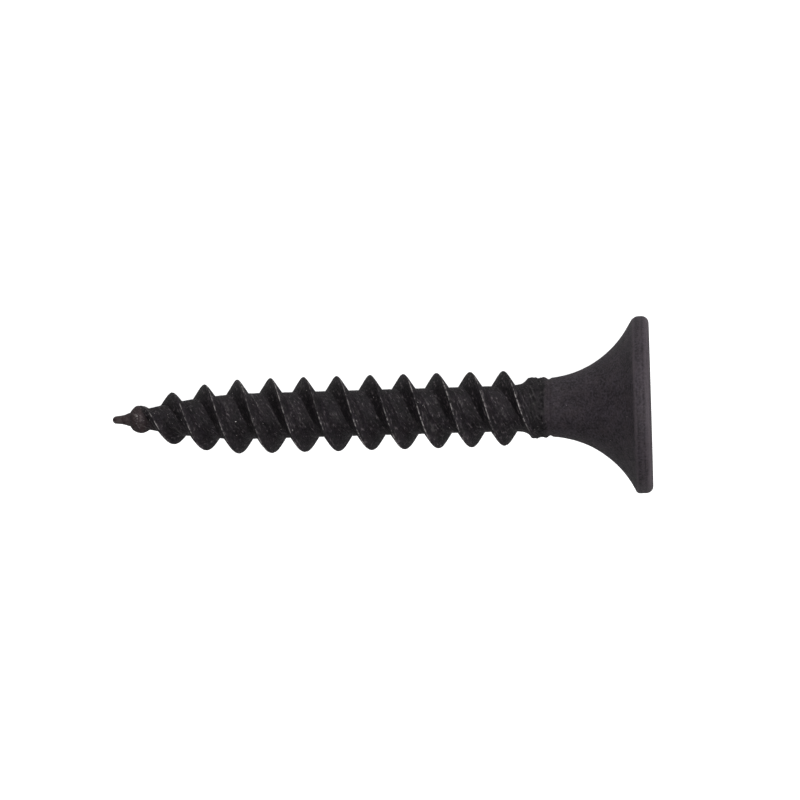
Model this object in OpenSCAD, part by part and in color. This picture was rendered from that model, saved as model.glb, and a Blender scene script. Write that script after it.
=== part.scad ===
// Bugle-head screw: trumpet-shaped countersunk head, cross recess, coarse twin-start
// right-hand thread and a gimlet point. The real screw is one forged and thread-rolled
// steel blank, so each node here is one zone of that blank and the zones meet face to face.
//
// Frame: the screw's axis is the X axis, the middle of the head's face is the origin,
// the face looks towards +X and the tip points towards -X.
// Distances named *_at are measured along the axis, behind the head's face.

/* [Overall] */
// Length from the head's face to the end of the tip
overall_len = 25.4; // [18:0.1:65]

/* [Head] */
// Diameter of the rim
head_d = 8.3; // [7:0.05:10]
// Width of the rim's band, before its edges are rounded
rim_w = 0.76; // [0.5:0.02:1.1]
// Radius of the hollow curve from the shank out to the rim
flare_r = 4.64; // [3.6:0.02:5.6]
// Rounding of the edge between the rim and the face
face_edge_r = 0.33; // [0.1:0.01:0.4]
// Rounding of the edge between the rim and the flare
flare_edge_r = 0.2; // [0.05:0.01:0.3]

/* [Drive recess] */
// Width across two opposite wings at the face
recess_d = 4.9; // [4:0.05:5.9]
// Depth from the face to the floor of the wings
recess_depth = 2.6; // [1.8:0.05:3.1]
// Width across two opposite wings at their floor
recess_floor_d = 2.3; // [1.9:0.05:2.8]
// Thickness of a wing at the face
wing_w = 1.3; // [1:0.05:1.6]
// Thickness of a wing at its floor
wing_floor_w = 1.05; // [0.8:0.05:1.3]
// Diameter of the round middle of the recess at the face
recess_core_d = 2.5; // [2:0.05:3]
// Depth of the pointed bottom below the wings' floor
recess_point = 0.45; // [0.2:0.05:0.6]

/* [Shank] */
// Diameter of the plain shank under the head
shank_d = 2.75; // [2.3:0.05:3.3]
// Depth of the narrow groove where the shank meets the collar
groove_depth = 0.05; // [0.02:0.01:0.1]
// Height of the collar above the shank, where the thread dies stop
collar_rise = 0.035; // [0.02:0.005:0.06]
// Length of the collar
collar_len = 0.8; // [0.5:0.05:1.4]

/* [Thread] */
// Outer diameter over the thread's crests
thread_d = 3.55; // [2.9:0.05:4.2]
// Diameter of the core between the ridges
root_d = 2.15; // [1.7:0.05:2.5]
// Axial travel in one turn; the two starts lie half of it apart
lead = 3.14; // [2.4:0.02:4]
// Slope of each flank of a ridge from the plane across the axis
flank_angle = 28.2; // [20:0.2:32]
// Width of the narrow land on top of a ridge
crest_w = 0.08; // [0.02:0.01:0.12]
// Slope of the shoulder from the collar down to the core, from the axis
shoulder_angle = 48; // [25:1:60]
// Axial length over which a ridge grows from the collar to its full height
runin_len = 1.5; // [0.8:0.1:3]
// Angle about the axis, from +Y towards +Z, where the first ridge leaves the collar
thread_phase = 134; // [0:1:359]

/* [Point] */
// Length of the tapered point, from the last full crest to the foot of the tip pin
point_len = 5.95; // [4:0.05:7.5]
// Diameter of the core at the foot of the tip pin
point_core_d = 0.56; // [0.4:0.02:0.7]
// Diameter over the ridges where they run into the knob
ridge_end_d = 1.4; // [1.3:0.02:1.6]
// Diameter of the knob at its widest
knob_d = 1.3; // [1.1:0.02:1.5]
// Radius of the knob's rounded side
knob_side_r = 0.55; // [0.45:0.01:0.6]
// Length of the tip pin
tip_len = 0.85; // [0.5:0.05:1.2]
// Diameter of the tip pin at its foot
tip_foot_d = 0.66; // [0.5:0.02:0.8]
// Diameter of the tip pin's rounded end
tip_end_d = 0.36; // [0.2:0.02:0.46]

/* [Hidden] */
$fn = 96;

// flat steps of a ridge in one turn
ridge_steps = 60;
// straight steps of the outline round an edge, along the tapered point and over the knob
edge_steps = 6;
taper_steps = 12;
knob_steps = 12;
// height of a ridge where it begins and where it ends
ridge_least_h = 0.03;
// how far a cutter runs past the surface it opens
cut_past = 0.4;

head_r = head_d / 2;
shank_r = shank_d / 2;
collar_r = shank_r + collar_rise;
thread_r = thread_d / 2;
root_r = root_d / 2;
point_core_r = point_core_d / 2;
flank = tan(flank_angle);

// The flare is a circle that touches the shank and passes the rim's lower edge
flare_rise = head_r - shank_r;
flare_end_at = rim_w + sqrt(flare_rise * (2 * flare_r - flare_rise));
flare_centre = [shank_r + flare_r, -flare_end_at];

// The rounding between rim and flare touches the rim's band and the flare's circle
edge_reach = flare_r + flare_edge_r;
edge_in = flare_centre[0] - (head_r - flare_edge_r);
edge_centre = [head_r - flare_edge_r, -flare_end_at + sqrt(pow(edge_reach, 2) - pow(edge_in, 2))];
edge_touch = flare_centre + (edge_centre - flare_centre) * flare_r / edge_reach;

// The groove sits just above the collar, near the end of the flare
groove_r = 0.2;
groove_at = flare_end_at - 0.25;
head_end_at = groove_at - groove_r;
collar_at = flare_end_at - 0.1;
collar_end_at = collar_at + collar_len;
shoulder_len = (collar_r - root_r) / tan(shoulder_angle);
core_at = collar_end_at + shoulder_len;

// The point is counted back from the end of the tip
pin_at = overall_len - tip_len;
point_at = pin_at - point_len;
knob_at = pin_at - 0.5;
knob_ring_r = knob_d / 2 - knob_side_r;
ridge_end_at = knob_at - 0.2;

// Radius of the circle that drops by fall over a run, starting parallel to the axis
function drop_circle_r(run, fall) = (pow(run, 2) + pow(fall, 2)) / (2 * fall);
// Fall of that circle after a part of its run
function drop(r, part) = r - sqrt(pow(r, 2) - pow(part, 2));

core_drop_r = drop_circle_r(point_len, root_r - point_core_r);
crest_drop_r = drop_circle_r(ridge_end_at - point_at, thread_r - ridge_end_d / 2);

// Radius of the knob's side at a place along the axis
function knob_r(at) =
    abs(at - knob_at) >= knob_side_r ? 0
    : knob_ring_r + sqrt(pow(knob_side_r, 2) - pow(at - knob_at, 2));

// Radius of the blank between the ridges, from the collar to the knob
function core_r(at) =
    at <= collar_end_at ? collar_r
    : at < core_at ? collar_r + (root_r - collar_r) * (at - collar_end_at) / shoulder_len
    : at <= point_at ? root_r
    : max(root_r - drop(core_drop_r, at - point_at), knob_r(at));

// Radius of a ridge's crest: it grows out of the collar and shrinks along the point
function crest_r(at) =
    let (low = collar_r + ridge_least_h)
    at < collar_end_at + runin_len
        ? low + (thread_r - low) * (at - collar_end_at) / runin_len
    : at <= point_at ? thread_r
    : thread_r - drop(crest_drop_r, at - point_at);

// One cross-section of a ridge, at a place along the axis and an angle about it
function ridge_section(at, angle) =
    let (
        top = max(crest_r(at), core_r(at) + ridge_least_h),
        land = crest_w / 2,
        foot = land + (top - core_r(at)) * flank,
        outline = [
            [at - foot, core_r(at - foot)],
            [at - land, top],
            [at + land, top],
            [at + foot, core_r(at + foot)]
        ]
    )
    [for (p = outline) [-p[0], p[1] * cos(angle), p[1] * sin(angle)]];

// Points along an arc, from one angle to another
function arc_points(centre, r, from, to, steps) =
    [
        for (i = [0:steps])
            let (angle = from + (to - from) * i / steps)
            centre + r * [cos(angle), sin(angle)]
    ];

// Outline of the blank without its ridges and with the flare and the groove still to cut,
// as points of radius and place: out along the face, then down the side to the tip
function blank_points() =
    let (
        face_r = head_r - face_edge_r,
        edge_turn = atan2(flare_centre[1] - edge_centre[1], flare_centre[0] - edge_centre[0]),
        knob_from = knob_at - knob_side_r,
        end_r = tip_end_d / 2,
        taper_at = [for (i = [0:taper_steps]) point_at + (knob_from - point_at) * i / taper_steps],
        knob_at_all = [for (i = [1:knob_steps]) knob_from + (pin_at - knob_from) * i / knob_steps]
    )
    concat(
        [[0, 0]],
        arc_points([face_r, -face_edge_r], face_edge_r, 90, 0, edge_steps),
        arc_points(edge_centre, flare_edge_r, 0, edge_turn, edge_steps),
        [
            [edge_touch[0], -collar_at],
            [collar_r, -collar_at],
            [collar_r, -collar_end_at],
            [root_r, -core_at]
        ],
        [for (at = concat(taper_at, knob_at_all)) [core_r(at), -at]],
        [[tip_foot_d / 2, -pin_at]],
        arc_points([0, end_r - overall_len], end_r, 0, -90, edge_steps)
    );

// The blank's outline with the flare and the groove cut
module blank_outline() {
    difference() {
        polygon(blank_points());
        intersection() {
            translate(flare_centre)
                circle(flare_r);
            translate([0, -collar_at])
                square([head_d, collar_at]);
        }
        translate([shank_r + groove_r - groove_depth, -groove_at])
            circle(groove_r);
    }
}

// One zone of the blank, between two places along the axis. Its corners are written out, so that
// two zones that share a place share one plane.
module zone(from, to) {
    rotate([0, 90, 0])
        rotate_extrude()
            intersection() {
                blank_outline();
                polygon([[0, -to], [head_d, -to], [head_d, -from], [0, -from]]);
            }
}

// One wing pair of the recess, as a cutter that stands proud of the face
module wing_pair() {
    slab = 0.01;
    proud = cut_past / 2;
    span_slope = (recess_d - recess_floor_d) / recess_depth;
    wing_slope = (wing_w - wing_floor_w) / recess_depth;
    hull() {
        translate([proud, 0, 0])
            cube([slab, recess_d + span_slope * proud, wing_w + wing_slope * proud], center = true);
        translate([-recess_depth + slab / 2, 0, 0])
            cube([slab, recess_floor_d, wing_floor_w], center = true);
    }
}

// Cross recess: two wing pairs, a round tapered middle and a pointed bottom
module drive_recess() {
    for (turn = [0, 90])
        rotate([turn, 0, 0])
            wing_pair();
    rotate([0, -90, 0]) {
        translate([0, 0, -cut_past])
            cylinder(h = cut_past, r = recess_core_d / 2);
        cylinder(h = recess_depth, r1 = recess_core_d / 2, r2 = wing_floor_w / 2);
        translate([0, 0, recess_depth])
            cylinder(h = recess_point, r1 = wing_floor_w / 2, r2 = 0);
    }
}

// One helical ridge, as a closed ring of four-sided sections with a cap at each end
module ridge(phase) {
    turns = (ridge_end_at - collar_end_at) / lead;
    last = ceil(turns * ridge_steps);
    corners = 4;
    points = [
        for (i = [0:last])
            let (along = i / last)
            each ridge_section(collar_end_at + along * turns * lead, phase - along * turns * 360)
    ];
    walls = [
        for (i = [0:last - 1], j = [0:corners - 1])
            let (
                a = i * corners + j,
                b = i * corners + (j + 1) % corners
            )
            each [[a, b, b + corners], [a, b + corners, a + corners]]
    ];
    first_cap = [for (j = [corners - 1:-1:0]) j];
    last_cap = [for (j = [0:corners - 1]) last * corners + j];
    polyhedron(points, concat(walls, [first_cap, last_cap]));
}

module bugle_head() {
    color([0.20, 0.18, 0.20])
        difference() {
            zone(0, head_end_at);
            drive_recess();
        }
}

module shank() {
    color([0.18, 0.16, 0.18])
        zone(head_end_at, collar_end_at);
}

module thread_core() {
    color([0.14, 0.13, 0.14])
        zone(collar_end_at, point_at);
}

module thread_start_1() {
    color([0.22, 0.20, 0.21])
        ridge(thread_phase);
}

module thread_start_2() {
    color([0.22, 0.20, 0.21])
        ridge(thread_phase + 180);
}

module gimlet_point() {
    color([0.17, 0.15, 0.16])
        zone(point_at, pin_at);
}

module tip_pin() {
    color([0.19, 0.17, 0.18])
        zone(pin_at, overall_len);
}

bugle_head();
shank();
thread_core();
thread_start_1();
thread_start_2();
gimlet_point();
tip_pin();
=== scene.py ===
"""Looks of a bugle-head screw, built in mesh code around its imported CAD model.

The screw's axis is the X axis, the middle of the head's face is the origin and the tip
points towards -X. Lengths here are in millimetres, and Piece turns them into metres.
Distances along the axis, named *_AT or at, count from the head's face towards the tip,
and angles about the axis count from +Y towards +Z.
"""

import math

import bpy
import numpy as np
from mathutils import Matrix, Vector, noise


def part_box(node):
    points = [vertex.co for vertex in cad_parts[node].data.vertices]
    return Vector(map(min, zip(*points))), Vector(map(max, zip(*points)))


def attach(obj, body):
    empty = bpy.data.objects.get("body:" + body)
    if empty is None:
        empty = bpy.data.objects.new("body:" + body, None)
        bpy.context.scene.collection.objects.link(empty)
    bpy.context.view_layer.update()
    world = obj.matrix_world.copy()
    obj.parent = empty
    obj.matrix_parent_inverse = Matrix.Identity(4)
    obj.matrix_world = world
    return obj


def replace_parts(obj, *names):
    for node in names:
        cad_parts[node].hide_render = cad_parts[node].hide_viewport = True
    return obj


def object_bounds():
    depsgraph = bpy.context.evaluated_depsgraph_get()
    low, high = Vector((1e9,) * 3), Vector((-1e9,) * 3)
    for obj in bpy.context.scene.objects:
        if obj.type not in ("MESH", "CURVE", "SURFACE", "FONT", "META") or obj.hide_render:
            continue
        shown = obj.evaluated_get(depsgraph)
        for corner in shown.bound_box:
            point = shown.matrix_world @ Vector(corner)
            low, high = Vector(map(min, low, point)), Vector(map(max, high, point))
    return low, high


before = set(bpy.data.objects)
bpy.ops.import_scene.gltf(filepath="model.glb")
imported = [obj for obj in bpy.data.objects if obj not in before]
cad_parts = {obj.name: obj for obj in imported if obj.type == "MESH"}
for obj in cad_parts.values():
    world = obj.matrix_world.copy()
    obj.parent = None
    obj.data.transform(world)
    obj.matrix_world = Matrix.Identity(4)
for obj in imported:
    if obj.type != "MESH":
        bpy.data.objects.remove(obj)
cad_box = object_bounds()

MM = 0.001
BODY = "root"

# ---------------------------------------------------------------- sizes, in millimetres

OVERALL_LEN = -cad_box[0].x / MM
HEAD_R = cad_box[1].y / MM

RIM_W = 0.76
FLARE_R = 4.64
FACE_EDGE_R = 0.33
FLARE_EDGE_R = 0.2

RECESS_D = 4.9
RECESS_DEPTH = 2.6
RECESS_FLOOR_D = 2.3
WING_W = 1.3
WING_FLOOR_W = 1.05
RECESS_CORE_D = 2.5
RECESS_POINT = 0.45
RECESS_EDGE_R = 0.05
RECESS_CORNER = 0.08

SHANK_R = 1.375
COLLAR_RISE = 0.035
GROOVE_DEPTH = 0.06
SHOULDER_FADE = 0.2

THREAD_R = 1.775
ROOT_R = 1.075
LEAD = 3.14
FLANK = math.tan(math.radians(28.2))
# place where the first start's crest passes the +Y side
CREST_AT = 13.16
CREST_ROUND = 0.06
FILLET = 0.14
# the marks that the thread dies leave, across and along the helix
MARK_W = 0.16
MARK_LEN = 1.3
# a ridge's skin runs past its foot and dives into the core, so that no slit shows
RIDGE_SKIRT = 0.09
RIDGE_SINK = 0.02
RIDGE_UNDERSIDE = 0.05
# a ridge's foot is at least this far from the middle of its crest
LEAST_HALF_WIDTH = 0.09

POINT_CORE_R = 0.28
KNOB_R = 0.65
KNOB_SIDE_R = 0.55
TIP_FOOT_R = 0.33
TIP_END_R = 0.18
# how far the pin reaches into the point
PIN_SINK = 0.02
RIDGE_END_R = 0.7

# places along the axis where the CAD zones meet, from the CAD boxes
HEAD_END_AT = -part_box("bugle_head")[0].x / MM
COLLAR_END_AT = -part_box("shank")[0].x / MM
POINT_AT = -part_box("thread_core")[0].x / MM
PIN_AT = -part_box("gimlet_point")[0].x / MM

FLARE_RISE = HEAD_R - SHANK_R
FLARE_END_AT = RIM_W + math.sqrt(FLARE_RISE * (2 * FLARE_R - FLARE_RISE))
GROOVE_AT = FLARE_END_AT - 0.265
KNOB_AT = PIN_AT - 0.5
RIDGE_END_AT = KNOB_AT - 0.2
POINT_LEN = PIN_AT - POINT_AT

# ---------------------------------------------------------------- mesh helpers

# rings at the rim of the face that are dented along with the outside
OUTER_FACE_RINGS = 6
# columns round the axis, shared by every turned piece so that their ends meet
COLUMNS = 256
RIDGE_STEPS = 192


def smooth_step(low, high, x):
    t = np.clip((x - low) / (high - low), 0, 1)
    return t * t * (3 - 2 * t)


def smooth_max(a, b, soft):
    near = np.maximum(soft - np.abs(a - b), 0) / soft
    return np.maximum(a, b) + near * near * soft / 4


def hump(x, centre, width):
    return np.exp(-(((x - centre) / width) ** 2))


def grain(points, size, octaves=3, seed=0.0):
    """Smooth noise of about -1 to 1 at each point, with features of that size in millimetres."""
    shift = Vector((seed, 1.7 * seed, -seed))
    values = [noise.fractal(Vector(p) / size + shift, 0.9, 2.0, octaves) for p in points.reshape(-1, 3)]
    return np.array(values).reshape(points.shape[:-1])


def around(at, radius, angle):
    """Points from place along the axis, radius and angle, as arrays of one shape."""
    at, radius, angle = np.broadcast_arrays(at, radius, angle)
    return np.stack([-at, radius * np.cos(angle), radius * np.sin(angle)], axis=-1)


class Piece:
    """A closed mesh that stands for one CAD node, gathered from grids of points in millimetres."""

    def __init__(self, name):
        self.name = name
        self.points = []
        self.faces = []
        self.floats = {}
        self.flow = []

    def add(self, points, **floats):
        start = sum(len(p) for p in self.points)
        self.points.append(np.asarray(points, float).reshape(-1, 3))
        count = len(self.points[-1])
        for key in ("wear", "pale", "dark"):
            value = np.broadcast_to(floats.get(key, 0.0), np.shape(points)[:-1]).reshape(-1)
            self.floats.setdefault(key, []).append(value)
        return start, count

    def face(self, corners, flow=None):
        self.faces.append(tuple(corners))
        self.flow.append(flow if flow is not None else [(0.0, 0.0, 0.0)] * len(corners))

    def make(self, material, slot, sharp=40):
        mesh = bpy.data.meshes.new(self.name)
        mesh.from_pydata(np.concatenate(self.points) * MM, [], self.faces)
        for key, parts in self.floats.items():
            attribute = mesh.attributes.new(key, "FLOAT", "POINT")
            attribute.data.foreach_set("value", np.concatenate(parts).astype(np.float32))
        attribute = mesh.attributes.new("flow", "FLOAT_VECTOR", "CORNER")
        corners = np.array([c for f in self.flow for c in f], np.float32)
        attribute.data.foreach_set("vector", corners.reshape(-1))
        mesh.validate()
        mesh.shade_smooth()
        mesh.set_sharp_from_angle(angle=math.radians(sharp))
        mesh.materials.append(material)
        piece = bpy.data.objects.new(self.name, mesh)
        bpy.context.scene.collection.objects.link(piece)
        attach(piece, BODY)
        return piece


def turned(piece, rings, wear, pale, flow_of=None, dark=0.0):
    """Adds a closed skin through rings of points that each run round the axis, and caps both ends."""
    rows, columns = rings.shape[:2]
    start, _ = piece.add(rings, wear=wear, pale=pale, dark=dark)
    for i in range(rows - 1):
        for j in range(columns):
            k = (j + 1) % columns
            a, b = start + i * columns, start + (i + 1) * columns
            piece.face((a + j, b + j, b + k, a + k), flow_of(i, j) if flow_of else None)
    for row, order in ((0, 1), (rows - 1, -1)):
        middle = rings[row].mean(axis=0)
        hub, _ = piece.add(middle[None, :], wear=0.0, pale=0.0)
        for j in range(columns):
            ends = [start + row * columns + j, start + row * columns + (j + 1) % columns]
            piece.face((hub, *ends[::order]))


# ---------------------------------------------------------------- radii along the axis


def drop_circle_r(run, fall):
    return (run * run + fall * fall) / (2 * fall)


def drop(circle_r, part):
    return circle_r - np.sqrt(circle_r ** 2 - np.clip(part, 0, circle_r) ** 2)


CORE_DROP_R = drop_circle_r(POINT_LEN, ROOT_R - POINT_CORE_R)
CREST_DROP_R = drop_circle_r(RIDGE_END_AT - POINT_AT, THREAD_R - RIDGE_END_R)


def flare_radius(at):
    reach = np.clip(FLARE_END_AT - at, 0, FLARE_R)
    return SHANK_R + FLARE_R - np.sqrt(FLARE_R ** 2 - reach ** 2)


def knob_radius(at):
    inside = np.clip(KNOB_SIDE_R ** 2 - (at - KNOB_AT) ** 2, 0, None)
    return np.where(inside > 0, KNOB_R - KNOB_SIDE_R + np.sqrt(inside), 0)


def blank_radius(at, angle):
    """Radius of the screw between its ridges, from the end of the flare to the foot of the tip pin."""
    wander = 0.05 * np.sin(angle + 0.6) + 0.03 * np.sin(3 * angle + 2.0)
    collar = (
        flare_radius(at)
        - GROOVE_DEPTH * hump(at, GROOVE_AT, 0.085)
        + COLLAR_RISE * smooth_step(GROOVE_AT + 0.06, GROOVE_AT + 0.2, at)
        + 0.020 * hump(at, FLARE_END_AT - 0.04 + 0.5 * wander, 0.06)
        - 0.022 * hump(at, FLARE_END_AT + 0.2 + wander, 0.10)
        + 0.026 * hump(at, FLARE_END_AT + 0.5 + wander, 0.12)
    )
    filled = np.sin(angle) ** 2
    step = COLLAR_END_AT - 0.03 + wander + 0.12 * filled
    reach = SHOULDER_FADE * (1 + 2.2 * filled)
    fade = ROOT_R + (SHANK_R + COLLAR_RISE - ROOT_R) * np.exp(-np.clip(at - step, -0.3, None) / reach)
    upper = -smooth_max(-collar, -fade, 0.05)
    taper = ROOT_R - drop(CORE_DROP_R, at - POINT_AT)
    lower = smooth_max(taper, knob_radius(at), 0.06)
    return np.where(at < POINT_AT, upper, lower)


def crest_radius(at, start):
    """Radius of a ridge's crest: it grows out of the collar and shrinks along the point."""
    full_at = COLLAR_END_AT + (1.2 if start == 0 else 1.5)
    rise = np.clip((full_at - at) / (full_at - COLLAR_END_AT + 0.3), 0, 1)
    low = SHANK_R + COLLAR_RISE - 0.01
    grown = THREAD_R - (THREAD_R - low) * rise ** 1.5
    shrunk = THREAD_R - drop(CREST_DROP_R, at - POINT_AT)
    return np.where(at < POINT_AT, grown, shrunk)


def helix(at, angle):
    """Place across the ridges from the first start's crest, within one lead, and way along the helix."""
    turns = (at - CREST_AT) / LEAD + angle / math.tau
    whole = np.floor(turns)
    return (turns - whole) * LEAD, (angle - whole * math.tau) * ROOT_R


# ---------------------------------------------------------------- materials

# near black that the dark attribute mixes in: painted shade in pits, chips and streak hollows and on the
# ridges' tip-facing flanks, and a darker collar
PAINTED_SHADE_AND_COLLAR_COLOUR = (0.004, 0.003, 0.004, 1)
FLAKE_COLOUR = (0.24, 0.21, 0.22, 1)
BARE_STEEL_COLOUR = (0.62, 0.58, 0.57, 1)


def node(tree, kind, inputs=None, **settings):
    made = tree.nodes.new(kind)
    for key, value in settings.items():
        setattr(made, key, value)
    for key, value in (inputs or {}).items():
        if isinstance(value, bpy.types.NodeSocket):
            tree.links.new(value, made.inputs[key])
        else:
            made.inputs[key].default_value = value
    return made


def scaled(tree, vector, factors):
    return node(tree, "ShaderNodeVectorMath", {0: vector, 1: factors}, operation="MULTIPLY").outputs[0]


def noise_at(tree, vector, scale, detail=3.0, rough=0.6):
    return node(
        tree, "ShaderNodeTexNoise", {"Vector": vector, "Scale": scale, "Detail": detail, "Roughness": rough}
    ).outputs["Fac"]


def ranged(tree, value, low, high, to_low=0.0, to_high=1.0):
    return node(
        tree,
        "ShaderNodeMapRange",
        {"Value": value, "From Min": low, "From Max": high, "To Min": to_low, "To Max": to_high},
    ).outputs[0]


def math_of(tree, operation, a, b):
    return node(tree, "ShaderNodeMath", {0: a, 1: b}, operation=operation).outputs[0]


def mixed(tree, share, a, b):
    made = node(tree, "ShaderNodeMix", data_type="RGBA")
    for socket, value in zip((made.inputs[0], made.inputs[6], made.inputs[7]), (share, a, b)):
        if isinstance(value, bpy.types.NodeSocket):
            tree.links.new(value, socket)
        else:
            socket.default_value = value
    return made.outputs[2]


def phosphate(name, dark, light, bare, spread, rolled, flaked, specks):
    """Black phosphate on steel: crystals as fine grain, blotches, tool marks and rubbed bare metal, with
    painted shade and painted highlights that the mesh attributes carry.

    spread is how far the crystals' tones lie apart, rolled the strength of the marks that run
    along the helix and flaked the strength of the light flakes between those marks.
    """
    material = bpy.data.materials.new(name)
    material.use_nodes = True
    tree = material.node_tree
    shader = tree.nodes["Principled BSDF"]
    place = node(tree, "ShaderNodeTexCoord").outputs["Object"]
    place = scaled(tree, place, (1 / MM, 1 / MM, 1 / MM))
    crystals = noise_at(tree, place, 9.5, 1.5, 0.6)
    grit = noise_at(tree, place, 24.0, 3.0, 0.7)
    blotches = noise_at(tree, place, 1.1, 2.0, 0.5)
    tint = noise_at(tree, place, 2.3, 2.0, 0.5)
    ring_marks = noise_at(tree, scaled(tree, place, (16.0, 0.6, 0.6)), 1.0, 3.0, 0.6)
    flow = node(tree, "ShaderNodeAttribute", attribute_name="flow").outputs["Vector"]
    rolled_marks = noise_at(tree, scaled(tree, flow, (9.0, 1.4, 1.0)), 1.0, 4.0, 0.7)
    wear = node(tree, "ShaderNodeAttribute", attribute_name="wear").outputs["Fac"]
    pale = node(tree, "ShaderNodeAttribute", attribute_name="pale").outputs["Fac"]
    painted_shade_and_dark_collar = node(tree, "ShaderNodeAttribute", attribute_name="dark").outputs["Fac"]

    tone = math_of(tree, "MULTIPLY", crystals, 0.72)
    tone = math_of(tree, "ADD", tone, math_of(tree, "MULTIPLY", blotches, 0.28))
    tone = math_of(tree, "ADD", tone, math_of(tree, "MULTIPLY", rolled_marks, rolled))
    middle = 0.5 * (1 + rolled)
    tone = ranged(tree, tone, middle - spread, middle + spread)
    colour = mixed(tree, tone, (*dark, 1), (*light, 1))
    warm = ranged(tree, tint, 0.45, 0.7, 0.0, 0.3)
    colour = mixed(tree, warm, colour, (light[0], light[1] * 0.92, light[2] * 0.8, 1))
    # the pale attribute brings in paler metal with turned streaks; on the head's rounded edges and rim this
    # is partly a painted highlight
    streaked = ranged(tree, ring_marks, 0.35, 0.65, 0.45, 1.0)
    colour = mixed(tree, math_of(tree, "MULTIPLY", pale, streaked), colour, (*bare, 1))
    # the dark attribute paints shade in pits, chips, streak hollows and on the tip-facing flanks, and
    # darkens the collar
    colour = mixed(tree, painted_shade_and_dark_collar, colour, PAINTED_SHADE_AND_COLLAR_COLOUR)

    flakes = noise_at(tree, scaled(tree, flow, (13.0, 5.0, 1.0)), 1.0, 2.0, 0.6)
    flakes = ranged(tree, flakes, 0.53, 0.68, 0.0, flaked)
    flakes = math_of(tree, "MULTIPLY", flakes, ranged(tree, rolled_marks, 0.48, 0.60, 0.12, 1.0))
    colour = mixed(tree, flakes, colour, FLAKE_COLOUR)
    # the wear attribute brings in bare steel: rubbed metal, and on the crests and the knob's top partly a
    # painted highlight
    rubbed = ranged(tree, noise_at(tree, place, 4.0, 3.0, 0.7), 0.45, 0.58)
    rubbed = math_of(tree, "MULTIPLY", wear, rubbed)
    dots = ranged(tree, noise_at(tree, place, 6.5, 2.0, 0.4), specks, specks + 0.03)
    bare_metal = math_of(tree, "MAXIMUM", rubbed, dots)
    colour = mixed(tree, bare_metal, colour, BARE_STEEL_COLOUR)
    tree.links.new(colour, shader.inputs["Base Color"])
    tree.links.new(math_of(tree, "MULTIPLY", bare_metal, 0.6), shader.inputs["Metallic"])

    roughness = ranged(tree, grit, 0.4, 0.6, 0.80, 0.55)
    roughness = math_of(tree, "SUBTRACT", roughness, math_of(tree, "MULTIPLY", bare_metal, 0.2))
    tree.links.new(roughness, shader.inputs["Roughness"])
    shader.inputs["Specular IOR Level"].default_value = 0.25

    relief = math_of(tree, "ADD", crystals, math_of(tree, "MULTIPLY", grit, 0.4))
    fine = node(tree, "ShaderNodeBump", {"Height": relief, "Strength": 1.0, "Distance": 0.00003})
    turned_marks = math_of(tree, "MULTIPLY", math_of(tree, "MULTIPLY", ring_marks, pale), 0.5)
    marks = math_of(tree, "ADD", turned_marks, math_of(tree, "MULTIPLY", rolled_marks, rolled))
    coarse = node(
        tree,
        "ShaderNodeBump",
        {"Height": marks, "Strength": 0.7, "Distance": 0.00002, "Normal": fine.outputs[0]},
    )
    tree.links.new(coarse.outputs[0], shader.inputs["Normal"])
    return material


HEAD_FINISH = phosphate(
    "phosphate_head", (0.011, 0.0085, 0.0105), (0.053, 0.043, 0.054), (0.095, 0.079, 0.091),
    spread=0.15, rolled=0.0, flaked=0.0, specks=0.80,
)
SHANK_FINISH = phosphate(
    "phosphate_shank", (0.013, 0.0097, 0.0125), (0.053, 0.043, 0.053), (0.085, 0.070, 0.082),
    spread=0.19, rolled=0.15, flaked=0.12, specks=0.77,
)
THREAD_FINISH = phosphate(
    "phosphate_thread", (0.001, 0.001, 0.001), (0.0205, 0.0158, 0.021), (0.074, 0.044, 0.043),
    spread=0.19, rolled=0.6, flaked=0.5, specks=0.76,
)

# ---------------------------------------------------------------- the head

ANGLES = np.arange(COLUMNS) * math.tau / COLUMNS
EIGHTH = COLUMNS // 8


def recess_outline(span, width, core):
    """Outline of the cross: wings with rounded ends, and a round middle that cuts their corners.

    It has as many points as the turned rings, so the recess grows out of the face without a seam.
    """
    end_steps = EIGHTH // 4
    side_steps = EIGHTH // 2
    core_steps = EIGHTH - end_steps - side_steps
    half_span, half_width, core_r = span / 2, width / 2, core / 2
    corner_turn = math.asin(half_width / half_span)
    inner_x = max(math.sqrt(max(core_r ** 2 - half_width ** 2, 0)), half_width + RECESS_CORNER)
    outer_x = half_span * math.cos(corner_turn)
    core_turn = math.atan2(half_width, inner_x)
    inner_r = math.hypot(inner_x, half_width)
    points = [
        half_span * np.array([math.cos(t), math.sin(t)])
        for t in np.linspace(0, corner_turn, end_steps, endpoint=False)
    ]
    points += [
        np.array([x, half_width]) for x in np.linspace(outer_x, inner_x, side_steps, endpoint=False)
    ]
    points += [
        inner_r * np.array([math.cos(t), math.sin(t)])
        for t in np.linspace(core_turn, math.pi / 4, core_steps + 1)
    ]
    eighth = np.array(points)
    mirrored = eighth[-2:0:-1, ::-1]
    quarter = np.concatenate([eighth, mirrored])
    turns = [Matrix.Rotation(k * math.pi / 2, 2) for k in range(4)]
    return np.concatenate([quarter @ np.array(turn).T for turn in turns])


def ring(at, outline):
    return np.column_stack([np.full(len(outline), -at), outline])


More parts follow.
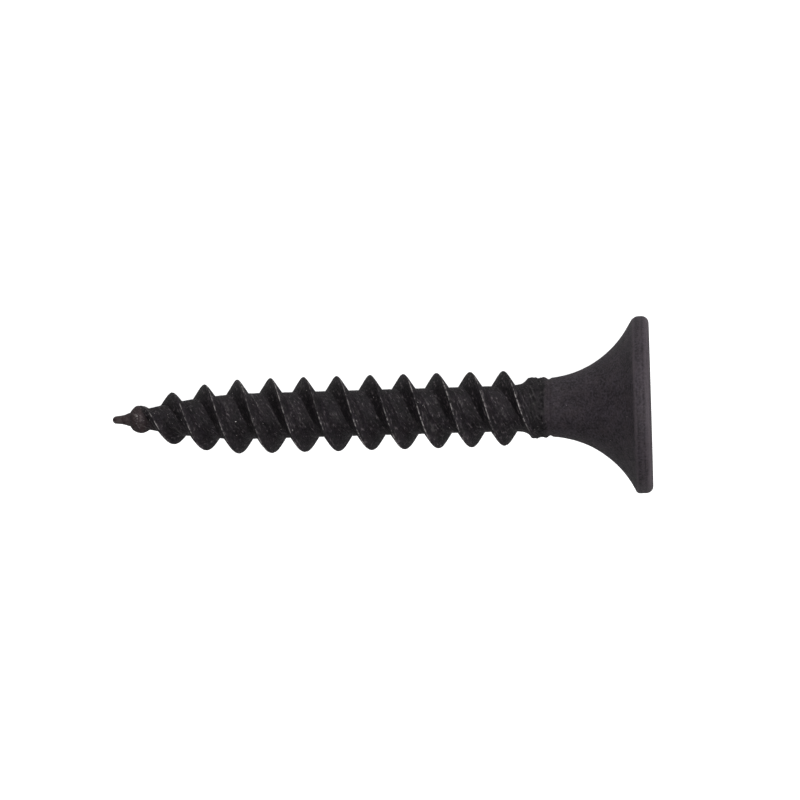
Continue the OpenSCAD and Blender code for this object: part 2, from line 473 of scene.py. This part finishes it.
def build_head():
    circle = np.column_stack([np.cos(ANGLES), np.sin(ANGLES)])
    rings, wear, pale = [], [], []

    def put(at, outline, worn=0.0, lighter_and_highlight=0.0):
        rings.append(ring(at, outline))
        wear.append(worn)
        pale.append(lighter_and_highlight)

    # recess, from its pointed bottom up to its rounded edge
    floor_r = WING_FLOOR_W / 2
    for share in (0.08, 0.4, 0.75, 1.0):
        put(RECESS_DEPTH + RECESS_POINT * (1 - share), circle * floor_r * share)
    floor = recess_outline(RECESS_FLOOR_D, WING_FLOOR_W, WING_FLOOR_W)
    for share in (0.35, 0.7, 0.95):
        put(RECESS_DEPTH, circle * floor_r * (1 - share) + floor * share)
    for depth in np.linspace(RECESS_DEPTH - 0.04, RECESS_EDGE_R, 14):
        share = 1 - depth / RECESS_DEPTH
        outline = recess_outline(
            RECESS_FLOOR_D + (RECESS_D - RECESS_FLOOR_D) * share,
            WING_FLOOR_W + (WING_W - WING_FLOOR_W) * share,
            WING_FLOOR_W + (RECESS_CORE_D - WING_FLOOR_W) * share,
        )
        put(depth, outline, worn=0.15 * smooth_step(0.6, 1.0, share))
    for turn in np.radians((25, 50, 70, 90)):
        grow = 2 * RECESS_EDGE_R * (1 - math.cos(turn))
        depth = RECESS_EDGE_R * (1 - math.sin(turn))
        put(depth, recess_outline(RECESS_D + grow, WING_W + grow, RECESS_CORE_D + grow), worn=0.4)

    # face, out to its rounded edge
    mouth = recess_outline(
        RECESS_D + 2 * RECESS_EDGE_R, WING_W + 2 * RECESS_EDGE_R, RECESS_CORE_D + 2 * RECESS_EDGE_R
    )
    face_r = HEAD_R - FACE_EDGE_R
    for share in np.linspace(0.06, 0.97, 16):
        put(0.0, mouth * (1 - share) + circle * face_r * share, worn=0.25 * hump(share, 0.0, 0.06))
    outside_from = len(rings) - OUTER_FACE_RINGS
    # the face's rounded edge is paler: partly worn metal, partly a painted highlight
    for turn in np.radians(np.linspace(0, 90, 9)):
        at = FACE_EDGE_R * (1 - math.cos(turn))
        put(at, circle * (face_r + FACE_EDGE_R * math.sin(turn)), 0.0, math.sin(2 * turn))

    # rim band, the rounding into the flare, and the flare down to the shank
    flare_centre = np.array([FLARE_END_AT, SHANK_R + FLARE_R])
    edge_r = HEAD_R - FLARE_EDGE_R
    edge_at = FLARE_END_AT - math.sqrt((FLARE_R + FLARE_EDGE_R) ** 2 - (flare_centre[1] - edge_r) ** 2)
    # the rim band gets paler towards the face, the side the lamp at the head falls on: partly worn metal,
    # partly a painted highlight
    for at in np.linspace(FACE_EDGE_R + 0.05, edge_at, 7):
        put(at, circle * HEAD_R, 0.0, 0.36 * smooth_step(edge_at, FACE_EDGE_R, at))
    last_turn = math.atan2(flare_centre[0] - edge_at, flare_centre[1] - edge_r)
    for turn in np.linspace(0, last_turn, 10)[1:]:
        at = edge_at + FLARE_EDGE_R * math.sin(turn)
        # the rounding into the flare is palest in its middle: partly worn metal, partly a painted highlight
        lighter_and_highlight = 0.7 * math.sin(math.pi * turn / last_turn)
        put(at, circle * (edge_r + FLARE_EDGE_R * math.cos(turn)), 0.0, lighter_and_highlight)
    touch_at = edge_at + FLARE_EDGE_R * math.sin(last_turn)
    for share in np.linspace(0, 1, 90)[1:]:
        at = touch_at + (HEAD_END_AT - touch_at) * share ** 1.25
        put(at, circle * flare_radius(at))

    rings = np.array(rings)
    outside = np.arange(len(rings)) >= outside_from
    radial = np.linalg.norm(rings[..., 1:], axis=-1, keepdims=True)
    dents = 0.006 * grain(rings, 1.3, 3, 4.0) + 0.003 * grain(rings, 0.22, 2, 9.0)
    upper = 0.5 + 0.5 * rings[..., 1] / np.maximum(radial[..., 0], 0.5)
    dents = dents - 0.07 * upper ** 3 * hump(-rings[..., 0], edge_at + 0.12, 0.13)
    keep = smooth_step(HEAD_END_AT, HEAD_END_AT - 0.3, -rings[..., 0])
    rings[..., 1:] *= 1 + (dents * keep * outside[:, None])[..., None] / np.maximum(radial, 0.5)

    piece = Piece("head")
    across = np.ones(COLUMNS)
    turned(piece, rings, np.outer(wear, across), np.outer(pale, across))
    return piece


# ---------------------------------------------------------------- shank, core, point and tip pin


def zone_rings(from_at, to_at, spacing):
    count = int(math.ceil((to_at - from_at) / spacing)) + 1
    at = np.linspace(from_at, to_at, count)[:, None]
    angle = ANGLES[None, :]
    return np.broadcast_arrays(at, angle)


def ends_kept(at, from_at, to_at, margin):
    """1 inside a zone and 0 at its two ends, where it has to meet its neighbours."""
    return smooth_step(from_at, from_at + margin, at) * smooth_step(to_at, to_at - margin, at)


def build_shank():
    at, angle = zone_rings(HEAD_END_AT, COLLAR_END_AT, 0.025)
    radius = blank_radius(at, angle)
    points = around(at, radius, angle)
    collar = smooth_step(GROOVE_AT, FLARE_END_AT - 0.06, at)
    rough = grain(points, 0.16, 4, 2.0)
    pits = np.clip(grain(points, 0.24, 3, 7.0) - 0.25, 0, 1)
    seam = hump(at, FLARE_END_AT + 0.12 + 0.07 * np.sin(3 * angle + 1.0), 0.11)
    chips = seam * np.clip(grain(points, 0.11, 2, 21.0) + 0.12, 0, 1)
    across, along = helix(at, angle)
    streaks = grain(np.stack([across / 0.1, along / 1.0, np.zeros_like(across)], axis=-1), 1.0, 2, 17.0)
    streaked = smooth_step(FLARE_END_AT + 0.2, FLARE_END_AT + 0.45, at)
    keep = ends_kept(at, HEAD_END_AT, COLLAR_END_AT, 0.08)
    radius = radius + keep * (
        0.012 * rough * collar - 0.07 * pits * collar - 0.06 * chips
        + 0.024 * streaks * streaked + 0.002 * rough
    )
    flecks = np.clip(grain(points, 0.07, 1, 31.0) - 0.45, 0, 1) * 2.5
    ridged = np.clip(streaks - 0.3, 0, 1) * streaked
    flecks = flecks * (0.8 * seam + 0.3 * streaked)
    wear = collar * keep * (0.06 * np.clip(rough, 0, 1) + 0.15 * ridged + flecks)
    # painted shade: the streaks' hollows, the pits and the chips get darker colour
    hollows = np.clip(-streaks, 0, 1) * streaked
    dark = np.clip(2.2 * chips + 2.0 * pits * collar + 0.9 * hollows, 0, 0.5)
    # darker over the collar, from the groove onwards
    dark = keep * dark + 0.72 * smooth_step(GROOVE_AT, FLARE_END_AT + 0.1, at)
    piece = Piece("shank_collar")
    turned(piece, around(at, radius, angle), wear, 0.0, flow_corners(at, angle), dark)
    return piece


def flow_corners(at, angle):
    """Helix coordinates for the corners of each face of a turned grid, without a jump inside a face."""
    step = math.tau / COLUMNS

    def of(i, j):
        a0, a1 = at[i, 0], at[i + 1, 0]
        t0, t1 = angle[0, j], angle[0, j] + step
        middle = ((a0 + a1) / 2 - CREST_AT) / LEAD + (t0 + t1) / 2 / math.tau
        whole = math.floor(middle)
        return [
            (((a - CREST_AT) / LEAD + t / math.tau - whole) * LEAD, (t - whole * math.tau) * ROOT_R, 0.0)
            for a, t in ((a0, t0), (a1, t0), (a1, t1), (a0, t1))
        ]

    return of


def rolled_skin(at, angle, from_at, to_at, margin):
    """Radius of the core with the marks of the thread dies, and how rubbed the core is there."""
    radius = blank_radius(at, angle)
    across, along = helix(at, angle)
    grid = np.stack([across / MARK_W, along / MARK_LEN, np.zeros_like(across)], axis=-1)
    marks = grain(grid, 1.0, 1, 3.0)
    pocks = grain(around(at, radius, angle), 0.14, 3, 5.0)
    keep = ends_kept(at, from_at, to_at, margin)
    return radius + keep * (0.009 * marks + 0.006 * pocks), keep * np.clip(marks - 0.3, 0, 1) * 0.35


def build_core():
    at, angle = zone_rings(COLLAR_END_AT, POINT_AT, 0.07)
    radius, wear = rolled_skin(at, angle, COLLAR_END_AT, POINT_AT, 0.06)
    piece = Piece("core")
    turned(piece, around(at, radius, angle), wear, 0.0, flow_corners(at, angle))
    return piece


def build_point():
    at, angle = zone_rings(POINT_AT, PIN_AT, 0.05)
    radius, wear = rolled_skin(at, angle, POINT_AT, PIN_AT, 0.06)
    lumps = grain(around(at, radius, angle), 0.45, 3, 6.0)
    flecks = np.clip(grain(around(at, radius, angle), 0.09, 1, 41.0), 0, 1)
    # bare-metal flecks on the knob, kept to its upper side: partly real flecks, partly painted glints where
    # the light falls
    wear = wear + 1.1 * flecks * hump(at, KNOB_AT + 0.1, 0.16) * hump(angle, math.pi / 2, 0.4)
    lumps = 0.03 * lumps + 0.014 * grain(around(at, radius, angle), 0.16, 2, 11.0)
    radius = radius + lumps * hump(at, KNOB_AT, 0.45) * ends_kept(at, POINT_AT, PIN_AT, 0.1)
    piece = Piece("point")
    pale = 0.45 * hump(at, KNOB_AT + 0.1, 0.5)
    turned(piece, around(at, radius, angle), wear, pale, flow_corners(at, angle))
    return piece


def build_pin():
    round_at = OVERALL_LEN - TIP_END_R
    straight = np.linspace(PIN_AT - PIN_SINK, round_at, 16)
    taper = (straight - PIN_AT) / (round_at - PIN_AT)
    hollow = 0.035 * np.sin(math.pi * np.clip(taper, 0, 1))
    side = TIP_FOOT_R + (TIP_END_R - TIP_FOOT_R) * np.clip(taper, 0, 1) - hollow
    turn = np.radians(np.linspace(0, 84, 8))[1:]
    at = np.concatenate([straight, round_at + TIP_END_R * np.sin(turn)])[:, None]
    radius = np.concatenate([side, TIP_END_R * np.cos(turn)])[:, None]
    points = around(at, radius, ANGLES[None, :])
    lumps = grain(points, 0.3, 3, 8.0)
    radius = radius * (1 + 0.05 * lumps * smooth_step(PIN_AT, PIN_AT + 0.1, at))
    piece = Piece("tip")
    wear = 0.05 + 0.1 * smooth_step(round_at, OVERALL_LEN, at)
    turned(piece, around(at, radius, ANGLES[None, :]), wear, 0.4)
    return piece


# ---------------------------------------------------------------- the two ridges


def ridge_offsets(half_width):
    """Places across a ridge, as columns: close together at the crest and at the foot."""
    near = np.array([0.0, 0.015, 0.035, 0.06])
    flank = np.linspace(0.0, 1.0, 7)[1:-1]
    reach = half_width + RIDGE_SKIRT
    outer = 0.075 + (half_width - 0.02 - 0.075) * flank[None, :]
    foot = half_width + np.array([-0.02, 0.02, 0.055, RIDGE_SKIRT])[None, :]
    near = np.broadcast_to(near[None, :], (len(half_width), len(near)))
    side = np.sort(np.concatenate([near, outer, foot], axis=1), axis=1)
    side = np.minimum(side, reach)
    return np.concatenate([-side[:, :0:-1], side], axis=1)


def build_ridge(start):
    first_at, last_at = COLLAR_END_AT - 0.35, RIDGE_END_AT + 0.15
    count = int((last_at - first_at) / LEAD * RIDGE_STEPS)
    crest_at = np.linspace(first_at, last_at, count)
    angle = -(crest_at - CREST_AT) / LEAD * math.tau + start * math.pi
    along = angle * ROOT_R
    wobble = np.array([noise.noise(Vector((a / 0.9, 3.0 + 5 * start, 0.0))) for a in along])
    nicks = np.array([max(noise.noise(Vector((a / 0.35, 9.0 + start, 4.0))) - 0.45, 0) for a in along])
    sway = np.array([noise.noise(Vector((a / 1.6, 1.0 + start, 7.0))) for a in along])

    core = blank_radius(crest_at, angle)
    crest = crest_radius(crest_at, start) + 0.05 * hump(crest_at, KNOB_AT - 1.6, 0.7)
    crest = crest + 0.012 * wobble - 0.10 * nicks
    height = np.maximum(crest - core, 0.0)
    half_width = np.maximum(height * FLANK + 0.7 * CREST_ROUND, LEAST_HALF_WIDTH)[:, None]
    offset = ridge_offsets(half_width)
    inward = 1 - np.abs(offset) / (half_width + RIDGE_SKIRT)
    at = crest_at[:, None] + offset + 0.012 * sway[:, None] * inward
    turn = np.broadcast_to(angle[:, None], at.shape)
    floor = blank_radius(at, turn)
    blunt = CREST_ROUND + 0.06 * smooth_step(POINT_AT + 1, POINT_AT + 3.5, crest_at)[:, None]
    rounded = np.sqrt(offset ** 2 + blunt ** 2) - blunt
    flank = (core + height)[:, None] - rounded / FLANK
    radius = smooth_max(flank, floor, FILLET)
    sink = RIDGE_SINK * smooth_step(half_width + 0.03, half_width + RIDGE_SKIRT, np.abs(offset))
    edge = 1 - smooth_step(half_width - 0.02, half_width + 0.05, np.abs(offset))
    marks_across, marks_along = np.broadcast_arrays(offset / MARK_W, along[:, None] / MARK_LEN)
    marks_grid = np.stack([marks_across, marks_along, np.full_like(offset, start)], axis=-1)
    marks = grain(marks_grid, 1.0, 1, 12.0)
    pocks = grain(around(at, radius, turn), 0.12, 3, 15.0)
    radius = radius - sink + edge * (0.007 * marks + 0.006 * pocks)

    # a thin line of bare steel along each crest, partly worn metal and partly a painted highlight, stronger
    # and fainter along the helix
    crest_wear_and_highlight = np.clip(0.38 + 0.8 * sway + 0.5 * wobble, 0.06, 1)[:, None]
    wear = 0.95 * hump(offset, -0.004, 0.017) * crest_wear_and_highlight + 0.2 * edge * np.clip(marks - 0.30, 0, 1)
    fade = smooth_step(first_at, COLLAR_END_AT + 0.4, crest_at)[:, None]
    wear = wear * (0.35 + 0.65 * fade)

    # painted shade on the flank that faces the tip, away from the lamp at the head
    dark = 0.55 * smooth_step(0.03, 0.16, offset) * (0.8 + 0.4 * np.clip(marks, -1, 1))

    piece = Piece(f"thread_{start + 1}")
    skin = around(at, radius, turn)
    columns = skin.shape[1]
    top, _ = piece.add(skin, wear=wear, dark=dark)
    under = around(at[:, [0, -1]], radius[:, [0, -1]] - RIDGE_UNDERSIDE, turn[:, [0, -1]])
    low, _ = piece.add(under)
    for i in range(count - 1):
        a, b = top + i * columns, top + (i + 1) * columns
        l0, l1 = along[i], along[i + 1]
        for j in range(columns - 1):
            o = (offset[i, j], offset[i + 1, j], offset[i + 1, j + 1], offset[i, j + 1])
            flow = [(o[0], l0, 0.0), (o[1], l1, 0.0), (o[2], l1, 0.0), (o[3], l0, 0.0)]
            piece.face((a + j, b + j, b + j + 1, a + j + 1), flow)
        p, q = low + 2 * i, low + 2 * (i + 1)
        piece.face((a, p, q, b))
        piece.face((a + columns - 1, b + columns - 1, q + 1, p + 1))
        piece.face((p, p + 1, q + 1, q))
    end = top + (count - 1) * columns
    far = low + 2 * (count - 1)
    piece.face([top + j for j in range(columns)] + [low + 1, low])
    piece.face([end + j for j in range(columns - 1, -1, -1)] + [far, far + 1])
    return piece


# ---------------------------------------------------------------- the pieces

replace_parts(build_head().make(HEAD_FINISH, "phosphated_head"), "bugle_head")
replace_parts(build_shank().make(SHANK_FINISH, "phosphated_shank"), "shank")
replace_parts(build_core().make(THREAD_FINISH, "phosphated_thread"), "thread_core")
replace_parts(build_ridge(0).make(THREAD_FINISH, "phosphated_thread"), "thread_start_1")
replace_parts(build_ridge(1).make(THREAD_FINISH, "phosphated_thread"), "thread_start_2")
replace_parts(build_point().make(THREAD_FINISH, "phosphated_thread"), "gimlet_point")
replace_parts(build_pin().make(THREAD_FINISH, "phosphated_thread"), "tip_pin")

# ---------------------------------------------------------------- floor, light and camera

# the screw lies on its rim and on its last full crest, so its axis leans against the floor
RIM_REST_AT = 0.45
CREST_REST_AT = POINT_AT
LEAN = math.atan2(HEAD_R - THREAD_R, CREST_REST_AT - RIM_REST_AT)


def build_floor():
    half = 0.09
    mesh = bpy.data.meshes.new("floor")
    corners = [(-half, -half, 0), (half, -half, 0), (half, half, 0), (-half, half, 0)]
    mesh.from_pydata(corners, [], [(0, 1, 2, 3)])
    floor = bpy.data.objects.new("floor", mesh)
    bpy.context.scene.collection.objects.link(floor)
    floor.rotation_euler = (0, LEAN, 0)
    floor.location = (-RIM_REST_AT * MM, 0, -HEAD_R * MM)
    material = bpy.data.materials.new("pale_floor")
    material.use_nodes = True
    shader = material.node_tree.nodes["Principled BSDF"]
    shader.inputs["Base Color"].default_value = (0.45, 0.45, 0.45, 1)
    shader.inputs["Roughness"].default_value = 0.9
    shader.inputs["Emission Color"].default_value = (1, 1, 1, 1)
    tree = material.node_tree
    seen = node(tree, "ShaderNodeLightPath").outputs["Is Camera Ray"]
    tree.links.new(ranged(tree, seen, 0.0, 1.0, 0.10, 1.0), shader.inputs["Emission Strength"])
    mesh.materials.append(material)


def build_world():
    world = bpy.data.worlds.new("studio")
    bpy.context.scene.world = world
    world.use_nodes = True
    tree = world.node_tree
    seen = node(tree, "ShaderNodeLightPath").outputs["Is Camera Ray"]
    strength = ranged(tree, seen, 0.0, 1.0, 0.06, 1.05)
    background = tree.nodes["Background"]
    background.inputs["Color"].default_value = (1, 1, 1, 1)
    tree.links.new(strength, background.inputs["Strength"])


def soft_light(name, direction, distance, size, power):
    """A square soft light that faces the screw from a direction, with its distance and size in metres."""
    data = bpy.data.lights.new(name, "AREA")
    data.shape = "SQUARE"
    data.size = size
    data.energy = power
    light = bpy.data.objects.new(name, data)
    bpy.context.scene.collection.objects.link(light)
    middle = Vector((-OVERALL_LEN * MM / 2, 0, 0))
    away = Vector(direction).normalized()
    light.location = middle + away * distance
    light.rotation_mode = "QUATERNION"
    light.rotation_quaternion = away.to_track_quat("Z", "Y")


def build_camera():
    """Looks down at the screw from above the head's end, as the photographer did."""
    distance = 0.1834
    tilt, roll = math.radians(3.84), math.radians(-1.69)
    aim = Vector((-11.77, 0.551, 0)) * MM
    data = bpy.data.cameras.new("camera")
    data.sensor_width = 36.0
    data.lens = 175.5
    data.clip_start = 0.01
    camera = bpy.data.objects.new("camera", data)
    bpy.context.scene.collection.objects.link(camera)
    turn = Matrix.Rotation(tilt, 4, "Y") @ Matrix.Rotation(roll, 4, "Z")
    camera.matrix_world = Matrix.Translation(aim + distance * (turn @ Vector((0, 0, 1)))) @ turn
    bpy.context.scene.camera = camera


build_floor()
build_world()
soft_light("from_head", (1.0, 0.1, 0.65), 0.25, 0.14, 0.30)
soft_light("from_above", (-0.1, 1.0, 0.45), 0.28, 0.18, 0.34)
soft_light("from_camera", (0.05, -0.2, 1.0), 0.28, 0.14, 0.42)
build_camera()
bpy.context.scene.view_settings.view_transform = "Standard"
